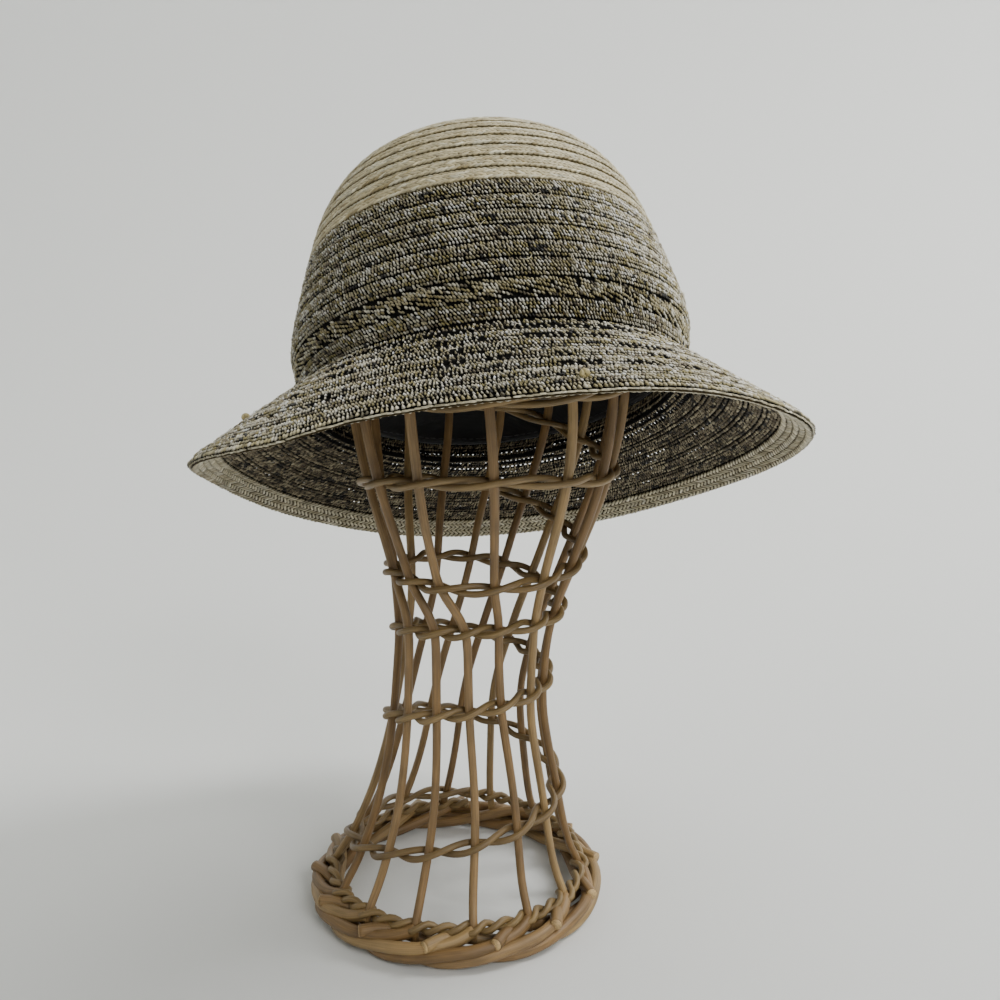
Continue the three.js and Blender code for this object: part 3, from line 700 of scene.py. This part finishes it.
INNER_ROWS = brim_rows // 2
BRIM_SLANT = 72
RIM_SIZE = (3.3, 1.3, 1.3)
RIM_SLANT = 78
RIM_PITCH = 1.9
RIM_INSET = 0.9
RIM_OUT = -0.45
KNOTS_INSET = 1.5
RIM_TONES = (("#e6dec6", 0.35), ("#d0c59e", 0.40), ("#b5a87b", 0.17), ("#6d664f", 0.08))
brim_end = 1 - KNOTS_INSET / brim_outline["length"]
rim_knots = knot_line(
    brim_outline, 1 - RIM_INSET / brim_outline["length"], RIM_OUT, RIM_SIZE, RIM_SLANT, RIM_PITCH,
    RIM_TONES, loose=5,
)
for name, made, edge in (
    ("brim_inner_knots", range(INNER_ROWS), []),
    ("brim_outer_knots", range(INNER_ROWS, brim_rows), [rim_knots]),
):
    knots = tweed_knots(
        brim_outline, 0.0, brim_end, brim_rows, made, BRIM_SLANT, (brim_shares, brim_cells),
    )
    brim_knots = mesh_piece(name, *join_parts([knots] + edge))
    brim_knots.data.materials.append(raffia_yarn)
    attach(brim_knots, "root")
    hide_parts("brim")

brim_under = mesh_piece("brim_under_knots", *inside_knots(
    brim_outline, 0.0, 1.0, brim_rows, range(brim_rows - 1), BRIM_UNDER_OUT,
    (brim_shares, brim_cells & near_crown),
))
brim_under.data.materials.append(raffia_yarn)
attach(brim_under, "root")
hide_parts("brim")

# Facing. One wider row of natural herringbone plait is sewn flat under the edge of the brim; a
# thread's breadth of it shows past the edge all the way round.
FACING_WIDTH = 14.5
FACING_COLUMNS = 5
FACING_PITCH = 2.7
FACING_SIZE = (5.4, 1.75, 0.9)
FACING_SLANT = 38
# Painted shade on the facing strands: shares that darken their tips and flanks.
FACING_PAINTED_SHADE = (0.62, 0.36)
FACING_OUT = -2.85
FACING_STEPS = 7
FACING_AROUND = 360
FACING_GROUND = "#3d3422"
FACING_GROUND_OUT = -2.2
FACING_GROUND_WALL = 0.5
FACING_EDGE_SIZE = (3.6, 0.85, 0.85)
FACING_EDGE_OUT = -1.6
FACING_EDGE_PAST = 0.1
FACING_EDGE_SLANT = 8
FACING_EDGE_PITCH = 2.4
FACING_TONES = (("#cfc5a8", 0.5), ("#c0b596", 0.32), ("#ddd5bc", 0.18))
facing_start = 1 - FACING_WIDTH / brim_outline["length"]
facing_shares = np.linspace(facing_start, 1.0, FACING_STEPS)
facing_ground = braid_ground(
    "brim_facing_ground", brim_outline, facing_shares, np.full(FACING_STEPS, FACING_GROUND_OUT),
    FACING_AROUND, [linear(FACING_GROUND)] * FACING_STEPS, FACING_GROUND_WALL,
)
facing_ground.data.materials.append(raffia_ground)
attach(facing_ground, "root")
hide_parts("brim_facing")

facing_lots = [
    plait(
        brim_outline, facing_start, 1.0, FACING_COLUMNS, lambda place: FACING_OUT, FACING_SIZE, FACING_SLANT,
        FACING_PITCH, FACING_TONES, side=-1, ends=FACING_PAINTED_SHADE,
    ),
    knot_line(
        brim_outline, 1 + FACING_EDGE_PAST / brim_outline["length"], FACING_EDGE_OUT,
        FACING_EDGE_SIZE, FACING_EDGE_SLANT, FACING_EDGE_PITCH, FACING_TONES,
        # ends: painted shade that darkens the tips and flanks of the edge strands.
        loose=4, ends=(0.8, 0.8),
    ),
]
facing_strands = mesh_piece("brim_facing_plait", *join_parts(facing_lots))
facing_strands.data.materials.append(raffia_yarn)
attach(facing_strands, "root")
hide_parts("brim_facing")

# Loose ends. Fine fibres of the raffia work out of the knots and curl over the tweed, and two
# ends of the braid are tied off in small hard knots on top of the brim.
FIBRES = 190
FIBRE_RADIUS = 0.11
FIBRE_STEPS = 8
FIBRE_TONE = "#d3cab0"
FIBRE_SIDES = 4
END_KNOTS = ((0.52, -63.5), (0.9, 13.5))
END_KNOT_SIZE = 3.6
END_KNOT_TONE = "#b7a877"


def lay_cane(route, radius, sides, tone, start=0.0):
    """A round cane along a route in mm, closed at both ends, with its run kept for the grain."""
    route = np.asarray(route, float)
    count = len(route)
    way = np.gradient(route, axis=0)
    way /= np.linalg.norm(way, axis=1)[:, None]
    side = np.cross(way[0], (0.31, 0.94, 0.13))
    length = start + np.append(0, np.cumsum(np.linalg.norm(np.diff(route, axis=0), axis=1)))
    radius = np.broadcast_to(radius, count)
    turn = np.linspace(0, 2 * math.pi, sides, endpoint=False)
    points, flow = [], []
    for i in range(count):
        side = side - way[i] * side.dot(way[i])
        side /= np.linalg.norm(side)
        other = np.cross(way[i], side)
        ring = np.cos(turn)[:, None] * side + np.sin(turn)[:, None] * other
        points.append(route[i] + ring * radius[i])
        flow.append(np.stack([
            np.full(sides, length[i]), np.cos(turn) * radius[i], np.sin(turn) * radius[i],
        ], axis=-1))
    ends = [route[0], route[-1]]
    points = np.vstack(points + [ends])
    flow = np.vstack(flow + [[(length[0], 0, 0), (length[-1], 0, 0)]])
    i, j = np.meshgrid(np.arange(count - 1), np.arange(sides), indexing="ij")
    i, j = i.ravel(), j.ravel()
    k = (j + 1) % sides
    a, b, c, d = i * sides + j, i * sides + k, (i + 1) * sides + j, (i + 1) * sides + k
    faces = np.vstack([np.stack([a, b, d], -1), np.stack([a, d, c], -1)])
    j = np.arange(sides)
    k = (j + 1) % sides
    last_ring, first_middle = (count - 1) * sides, count * sides
    first = np.stack([k, j, np.full(sides, first_middle)], -1)
    last = np.stack([last_ring + j, last_ring + k, np.full(sides, first_middle + 1)], -1)
    return points, np.vstack([faces, first, last]), np.tile(tone, (len(points), 1)), flow


fibre_lots = []
for index in range(FIBRES):
    on_brim = index % 5 < 3
    outline = brim_outline if on_brim else crown_outline
    start = chance.uniform(0.05, 0.92) if on_brim else chance.uniform(seam_share + 0.02, 0.95)
    along = np.linspace(0, 1, FIBRE_STEPS)
    heading = chance.uniform(0, 2 * math.pi) + chance.uniform(-3, 3) * along
    step = chance.uniform(3.0, 7.0) / FIBRE_STEPS
    angle = chance.uniform(0, 2 * math.pi) + np.cumsum(np.cos(heading)) * step / ROOT_RADIUS
    share = start + np.cumsum(np.sin(heading)) * step / outline["length"]
    lift = 0.7 + chance.uniform(0.3, 1.1) * np.sin(math.pi * along)
    fibre = on_hat(outline, share, angle, lift)
    fibre_lots.append(lay_cane(fibre, FIBRE_RADIUS, FIBRE_SIDES, linear(FIBRE_TONE)))
for share, degrees in END_KNOTS:
    around = np.linspace(0, 2.6 * math.pi, 26)
    middle_out = ROW_SWELL + END_KNOT_SIZE / 4
    lump = on_hat(brim_outline, share, math.radians(degrees), middle_out) + np.stack([
        np.cos(around) * END_KNOT_SIZE / 4,
        np.sin(around * 1.5) * END_KNOT_SIZE / 5,
        np.sin(around) * END_KNOT_SIZE / 4,
    ], -1)
    fibre_lots.append(lay_cane(lump, END_KNOT_SIZE / 4, 8, linear(END_KNOT_TONE)))
loose_ends = mesh_piece("loose_fibre_ends", *join_parts(fibre_lots))
loose_ends.data.materials.append(raffia_yarn)
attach(loose_ends, "root")
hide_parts("brim", "crown_side")

# Sweatband. Black ribbed ribbon, machine-stitched near its lower edge, lines the inside of the
# crown above the brim.
BAND_SEAT = 8.0
BAND_WIDTH = 30.0
BAND_THICKNESS = 1.2
BAND_STEPS = 13
BAND_AROUND = 240
BAND_TONE = "#101012"
band_foot = share_at_height(crown_outline, BAND_SEAT)
band_top = share_at_height(crown_outline, BAND_SEAT + BAND_WIDTH)
band_shares = np.linspace(band_foot, band_top, BAND_STEPS)
# Woven ribbon: a soft, low sheen over ribs 0.9 mm apart.
ribbon, ribbon_shader = new_material("black_grosgrain_ribbon")
ribbon_run = add_node(ribbon, "ShaderNodeAttribute", attribute_name="flow")
ribs = add_node(
    ribbon, "ShaderNodeTexWave", {"Vector": ribbon_run.outputs["Vector"], "Scale": 0.35, "Distortion": 0.4},
    bands_direction="Y",
)
ribbon_bump = add_node(
    ribbon, "ShaderNodeBump", {"Height": ribs.outputs["Fac"], "Strength": 0.5, "Distance": 0.0003},
)
ribbon.node_tree.links.new(ribbon_bump.outputs["Normal"], ribbon_shader.inputs["Normal"])
ribbon_shader.inputs["Base Color"].default_value = linear(BAND_TONE)
ribbon_shader.inputs["Roughness"].default_value = 0.62
ribbon_shader.inputs["Sheen Weight"].default_value = 0.2
band = braid_ground(
    "sweatband_ribbon", crown_outline, band_shares, np.full(BAND_STEPS, -BRAID_WALL - GAP),
    BAND_AROUND, [linear(BAND_TONE)] * BAND_STEPS, -BAND_THICKNESS,
)
band.data.materials.append(ribbon)
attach(band, "root")
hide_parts("sweatband")

BAND_STITCH = (3.2, 0.35, 0.3)
BAND_STITCH_PITCH = 4.0
BAND_STITCH_UP = 3.0
BAND_THREAD = ("#56565a", 1.0)
band_stitches = mesh_piece("sweatband_stitches", *knot_line(
    crown_outline, share_at_height(crown_outline, BAND_SEAT + BAND_STITCH_UP),
    -BRAID_WALL - GAP - BAND_THICKNESS - 0.1, BAND_STITCH, 0, BAND_STITCH_PITCH, (BAND_THREAD,),
    # ends: painted shade that darkens the tips and flanks of the thread stitches.
    side=-1, loose=1, ends=(0.8, 0.9),
))
band_stitches.data.materials.append(raffia_yarn)
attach(band_stitches, "root")
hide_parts("sweatband")

# Rods. Fourteen round rattan canes, 4.2 mm thick, rise from the foot, draw in to a waist and open
# again into a cage that fills the crown. Each leans to the left as it climbs, and the cane keeps
# its long grain and darker patches.
STAKE_RADIUS = 2.1
WEAVER_RADIUS = 1.55
FOOT_RADIUS = 65.0
FOOT_HEIGHT = 12.4
STAKE_FOOT_INSET = 3.2
WAIST_RADIUS = 36.0
WAIST_HEIGHT = 115.0
CAGE_RADIUS = 62.5
CAGE_HEIGHT = 238.0
ROD_END_RADIUS = 12.2
FOOT_FLARE = ((0.12, 1.0), (0.26, 0.67), (0.5, 0.34), (0.8, 0.06), (1.0, 0.0))
CAGE_SWELL = ((0.2, 0.04), (0.42, 0.28), (0.75, 0.76), (1.0, 1.0))
CAGE_DOME = ((0.18, 1.03), (0.4, 0.99), (0.62, 0.84), (0.8, 0.6), (0.93, 0.28), (1.0, 0.0))
LEAN_RIGHT = (
    (0.0, -0.62), (0.07, -0.59), (0.24, -0.47), (0.43, -0.42), (0.59, -0.31), (0.70, -0.23), (0.87, -0.17),
    (1.05, -0.17), (1.5, -0.24),
)
LEAN_BACK = (
    (0.0, 0.0), (0.07, 0.0), (0.24, 0.0), (0.43, 0.0), (0.59, 0.0), (0.70, 0.0), (0.87, 0.0), (1.05, 0.05),
    (1.5, 0.28),
)
ROD_ANGLES = (
    (9, 5, -3, -8, -26, -30), (34, 31, 19, 15, 7, 2), (58, 56, 48, 43, 39, 36),
    (86, 78, 72, 70, 68, 62), (112, 109, 96, 92, 89, 86), (138, 137, 123, 117, 113, 106),
    (164, 163, 148, 143, 138, 127), (190, 187, 172, 167, 162, 150), (217, 211, 197, 192, 187, 174),
    (243, 238, 224, 218, 213, 199), (270, 263, 248, 242, 236, 221), (300, 290, 277, 273, 262, 245),
    (321, 315, 305, 301, 286, 271), (345, 341, 332, 328, 310, 303),
)
ROD_STATIONS = (0.71, 1.14, 1.27, 1.46)
RODS = len(ROD_ANGLES)
rod_top = knob_low[2] - GAP - STAKE_RADIUS
rod_foot_radius = FOOT_RADIUS - STAKE_FOOT_INSET
ring_rows = (
    [(h * WAIST_HEIGHT, WAIST_RADIUS + (rod_foot_radius - WAIST_RADIUS) * s) for h, s in FOOT_FLARE]
    + [
        (WAIST_HEIGHT + (CAGE_HEIGHT - WAIST_HEIGHT) * h, WAIST_RADIUS + (CAGE_RADIUS - WAIST_RADIUS) * s)
        for h, s in CAGE_SWELL
    ]
    + [
        (CAGE_HEIGHT + (rod_top - CAGE_HEIGHT) * h, ROD_END_RADIUS + (CAGE_RADIUS - ROD_END_RADIUS) * s)
        for h, s in CAGE_DOME
    ]
)
rod_stations = (FOOT_HEIGHT, *(WAIST_HEIGHT * share for share in ROD_STATIONS), CAGE_HEIGHT, rod_top)


def rod_angle(place, height):
    """Degrees round the stand of a place counted in rods, at a height."""
    height = np.asarray(height, float)
    turns, place = divmod(place, RODS)
    before = int(place)
    angles = []
    for rod in (before, before + 1):
        row = ROD_ANGLES[rod % RODS]
        at_top = ROD_ANGLES[0][-1] + (rod % RODS) * 360 / RODS
        angle = read_table(list(zip(rod_stations, (*row, at_top))), height)
        angles.append(angle + (360 if rod >= RODS else 0))
    share = place - before
    return turns * 360 + angles[0] * (1 - share) + angles[1] * share


def on_stand(place, height, out):
    """Points of the stand in mm, at a place counted in rods, at heights, out from the ring."""
    height = np.asarray(height, float)
    angle = np.radians(rod_angle(place, height))
    radius = read_table(ring_rows, height) + out
    share = height / CAGE_HEIGHT
    return np.stack([
        read_table(LEAN_RIGHT, share) * WAIST_RADIUS + radius * np.sin(angle),
        read_table(LEAN_BACK, share) * WAIST_RADIUS - radius * np.cos(angle),
        height,
    ], axis=-1) + middle


# Rattan with its skin on: a waxy half gloss, grain in streaks 22 mm long and 0.6 mm wide, and
# patches 20 mm long that wear and age give.
rattan, rattan_shader = new_material("unbleached_rattan_cane")
cane_tone = add_node(rattan, "ShaderNodeAttribute", attribute_name="tone")
cane_run = add_node(rattan, "ShaderNodeAttribute", attribute_name="flow")
cane_stretch = add_node(
    rattan, "ShaderNodeMapping", {"Vector": cane_run.outputs["Vector"], "Scale": (0.045, 1.6, 1.6)},
)
cane_grain = add_node(
    rattan, "ShaderNodeTexNoise",
    {"Vector": cane_stretch.outputs["Vector"], "Scale": 1.0, "Detail": 4.0, "Roughness": 0.6},
)
cane_patch_scale = add_node(
    rattan, "ShaderNodeMapping", {"Vector": cane_run.outputs["Vector"], "Scale": (0.05, 0.12, 0.12)},
)
cane_patches = add_node(
    rattan, "ShaderNodeTexNoise",
    {"Vector": cane_patch_scale.outputs["Vector"], "Scale": 1.0, "Detail": 2.0},
)
cane_light = add_node(
    rattan, "ShaderNodeMapRange",
    {"Value": cane_grain.outputs["Fac"], "From Min": 0.3, "From Max": 0.72, "To Min": 0.72, "To Max": 1.3},
)
cane_worn = add_node(
    rattan, "ShaderNodeMapRange",
    {
        "Value": cane_patches.outputs["Fac"],
        "From Min": 0.35, "From Max": 0.65, "To Min": 0.82, "To Max": 1.2,
    },
)
cane_shade = add_node(
    rattan, "ShaderNodeMath", {0: cane_light.outputs["Result"], 1: cane_worn.outputs["Result"]},
    operation="MULTIPLY",
)
cane_colour = add_node(
    rattan, "ShaderNodeVectorMath", {0: cane_tone.outputs["Color"], "Scale": cane_shade.outputs["Value"]},
    operation="SCALE",
)
rattan.node_tree.links.new(cane_colour.outputs["Vector"], rattan_shader.inputs["Base Color"])
cane_bump = add_node(
    rattan, "ShaderNodeBump", {"Height": cane_grain.outputs["Fac"], "Strength": 0.5, "Distance": 0.0004},
)
rattan.node_tree.links.new(cane_bump.outputs["Normal"], rattan_shader.inputs["Normal"])
rattan_shader.inputs["Roughness"].default_value = 0.5
rattan_shader.inputs["IOR"].default_value = 1.5

ROD_IN_FOOT = 3.5
ROD_STEPS = 70
CANE_SIDES = 12
CANE_TONES = ("#836842", "#7a5f3a", "#8d734a", "#765b36")
for index in range(RODS):
    heights = np.linspace(FOOT_HEIGHT - ROD_IN_FOOT, rod_top, ROD_STEPS)
    wander = np.array([
        [math.sin(h / 31 + index * 1.7) * 0.35, math.sin(h / 23 + index * 2.9) * 0.35, 0] for h in heights
    ])
    thickness = STAKE_RADIUS * np.interp(heights, (0, 150, 240), (0.9, 0.96, 1.04))
    thickness *= 1 + 0.03 * np.sin(heights / 17 + index)
    tone = linear(CANE_TONES[index % 4])
    route = on_stand(index, heights, 0.0) + wander
    rod = mesh_piece(
        f"stake_{index + 1:02d}", *lay_cane(route, thickness, CANE_SIDES, tone, start=index * 531.0),
    )
    rod.data.materials.append(rattan)
    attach(rod, "root")
    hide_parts(f"rod_{index + 1:02d}")

# Weaving. Two thinner canes are twined round the rods, crossing between each two, and climb the
# stand in one long spiral from the foot to the head.
WEAVE_TURNS = (
    (0.063, 0.063, 0.066, 0.100), (0.126, 0.193, 0.248, 0.319), (0.387, 0.443, 0.473, 0.517),
    (0.571, 0.603, 0.615, 0.672), (0.695, 0.690, 0.722, 0.822), (0.866, 0.897, 0.893, 0.998),
    (1.018, 1.036, 1.066, 1.140),
)
WEAVE_START = 0.063
ROPE_TWISTS = 3
BACK_PLACE = 6.5
WEAVE_STEPS = 14
WEAVER_SIDES = 10
WEAVER_TONES = ("#78623c", "#715b37", "#7e6843")
spiral_rows = [(-180, WEAVE_START * CAGE_HEIGHT)] + [
    (360 * turn + 90 * (quarter - 1), share * CAGE_HEIGHT)
    for turn, row in enumerate(WEAVE_TURNS) for quarter, share in enumerate(row)
]
weave_reach = STAKE_RADIUS + WEAVER_RADIUS - 0.1


def spiral_height(place):
    """Height of the weaving at a place counted in rods; the rods lean, so it is found in steps."""
    height = 0.0
    for _ in range(12):
        height = float(read_table(spiral_rows, rod_angle(place, height) - 360))
    return height


for side, letter in ((1, "a"), (-1, "b")):
    for turn in range(len(WEAVE_TURNS)):
        places = BACK_PLACE + RODS * turn + np.arange(RODS * WEAVE_STEPS + 1) / WEAVE_STEPS
        route = []
        for place in places:
            twists = ROPE_TWISTS if turn == 0 else 1
            phase = (place - BACK_PLACE) * math.pi * twists + BACK_PLACE * math.pi
            swing = math.cos(phase)
            on_rod = (0.5 + 0.5 * math.cos(place * 2 * math.pi)) ** 2
            reach = weave_reach if turn > 0 else WEAVER_RADIUS + (weave_reach - WEAVER_RADIUS) * on_rod
            point = on_stand(place, spiral_height(place), side * reach * swing)
            point[2] += side * (WEAVER_RADIUS * 1.05) * math.sin(phase)
            route.append(point)
        tone = linear(WEAVER_TONES[turn % 3])
        grain_start = turn * 700.0 + side * 90
        weaver = mesh_piece(
            f"weaving_{turn + 1}_{letter}",
            *lay_cane(route, WEAVER_RADIUS, WEAVER_SIDES, tone, start=grain_start),
        )
        weaver.data.materials.append(rattan)
        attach(weaver, "root")
        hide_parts(f"weaver_{turn + 1}_{letter}")

# Foot. Each rod's thick end is bent to the left, laid round the outside over the next ones, taken
# under to the inside and tucked up again, where it is cut off: a rolled border of fourteen canes.
FOOT_CANE_RADIUS = 2.8
FOOT_ROUTE = (
    (0, 61.8, 14.0), (-9, 65.5, 11.2), (-22, 68.9, 9.6), (-36, 69.4, 7.9), (-49, 69.3, 5.4),
    (-61, 67.6, 3.6), (-73, 63.6, 3.0), (-86, 60.2, 4.7), (-99, 59.0, 8.2), (-109, 60.6, 11.0),
    (-116, 64.8, 12.2), (-121, 70.6, 12.0),
)
FOOT_STEPS = 72
CUT_FACE = 0.35
CUT_SHARE = 0.93
CUT_TONE = "#b79a6b"
foot_lean = float(read_table(LEAN_RIGHT, FOOT_HEIGHT / CAGE_HEIGHT)) * WAIST_RADIUS
foot_centre = middle + (foot_lean, 0.0, 0.0)
foot_lots = []
for index in range(RODS):
    share = np.linspace(0, 1, FOOT_STEPS)
    keys = np.linspace(0, 1, len(FOOT_ROUTE))
    turn, reach, height = (
        read_table(list(zip(keys, [row[k] for row in FOOT_ROUTE])), share) for k in range(3)
    )
    turn[-12:] += chance.normal(0, 1.2) * np.linspace(0, 1, 12)
    angle = np.radians(ROD_ANGLES[index][0] + turn)
    route = np.stack([reach * np.sin(angle), -reach * np.cos(angle), height], -1) + foot_centre
    tone = linear(CANE_TONES[(index + 2) % 4])
    foot_lots.append(lay_cane(route, FOOT_CANE_RADIUS, CANE_SIDES, tone, start=index * 377.0))
    ending = route[-1] - route[-2]
    face = route[-1] + ending / np.linalg.norm(ending) * np.array([[-0.1], [CUT_FACE / 2], [CUT_FACE]])
    foot_lots.append(lay_cane(
        face, FOOT_CANE_RADIUS * CUT_SHARE, CANE_SIDES, linear(CUT_TONE), start=index * 91.0,
    ))
foot = mesh_piece("foot_canes", *join_parts(foot_lots))
foot.data.materials.append(rattan)
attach(foot, "root")
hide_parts("foot_border")

# Knob. Out of sight in the crown, the rods' ends are bound into a low dome of thin cane wound
# round and round, and the hat's tip rests on it.
KNOB_RADIUS = 17.0
KNOB_THICKNESS = 7.0
knob_centre = (knob_low + knob_high) / 2
KNOB_TURNS = 5.5
winding = np.linspace(0.02, 1, 260)
knob_angle = winding * KNOB_TURNS * 2 * math.pi
knob_reach = winding * (KNOB_RADIUS - WEAVER_RADIUS)
knob_route = np.stack([
    knob_centre[0] + knob_reach * np.cos(knob_angle),
    knob_centre[1] + knob_reach * np.sin(knob_angle),
    knob_high[2] - WEAVER_RADIUS - (KNOB_THICKNESS - 2 * WEAVER_RADIUS) * winding ** 2,
], -1)
knob = mesh_piece(
    "knob_winding", *lay_cane(knob_route, WEAVER_RADIUS, WEAVER_SIDES, linear(WEAVER_TONES[0])),
)
knob.data.materials.append(rattan)
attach(knob, "root")
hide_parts("top_knob")
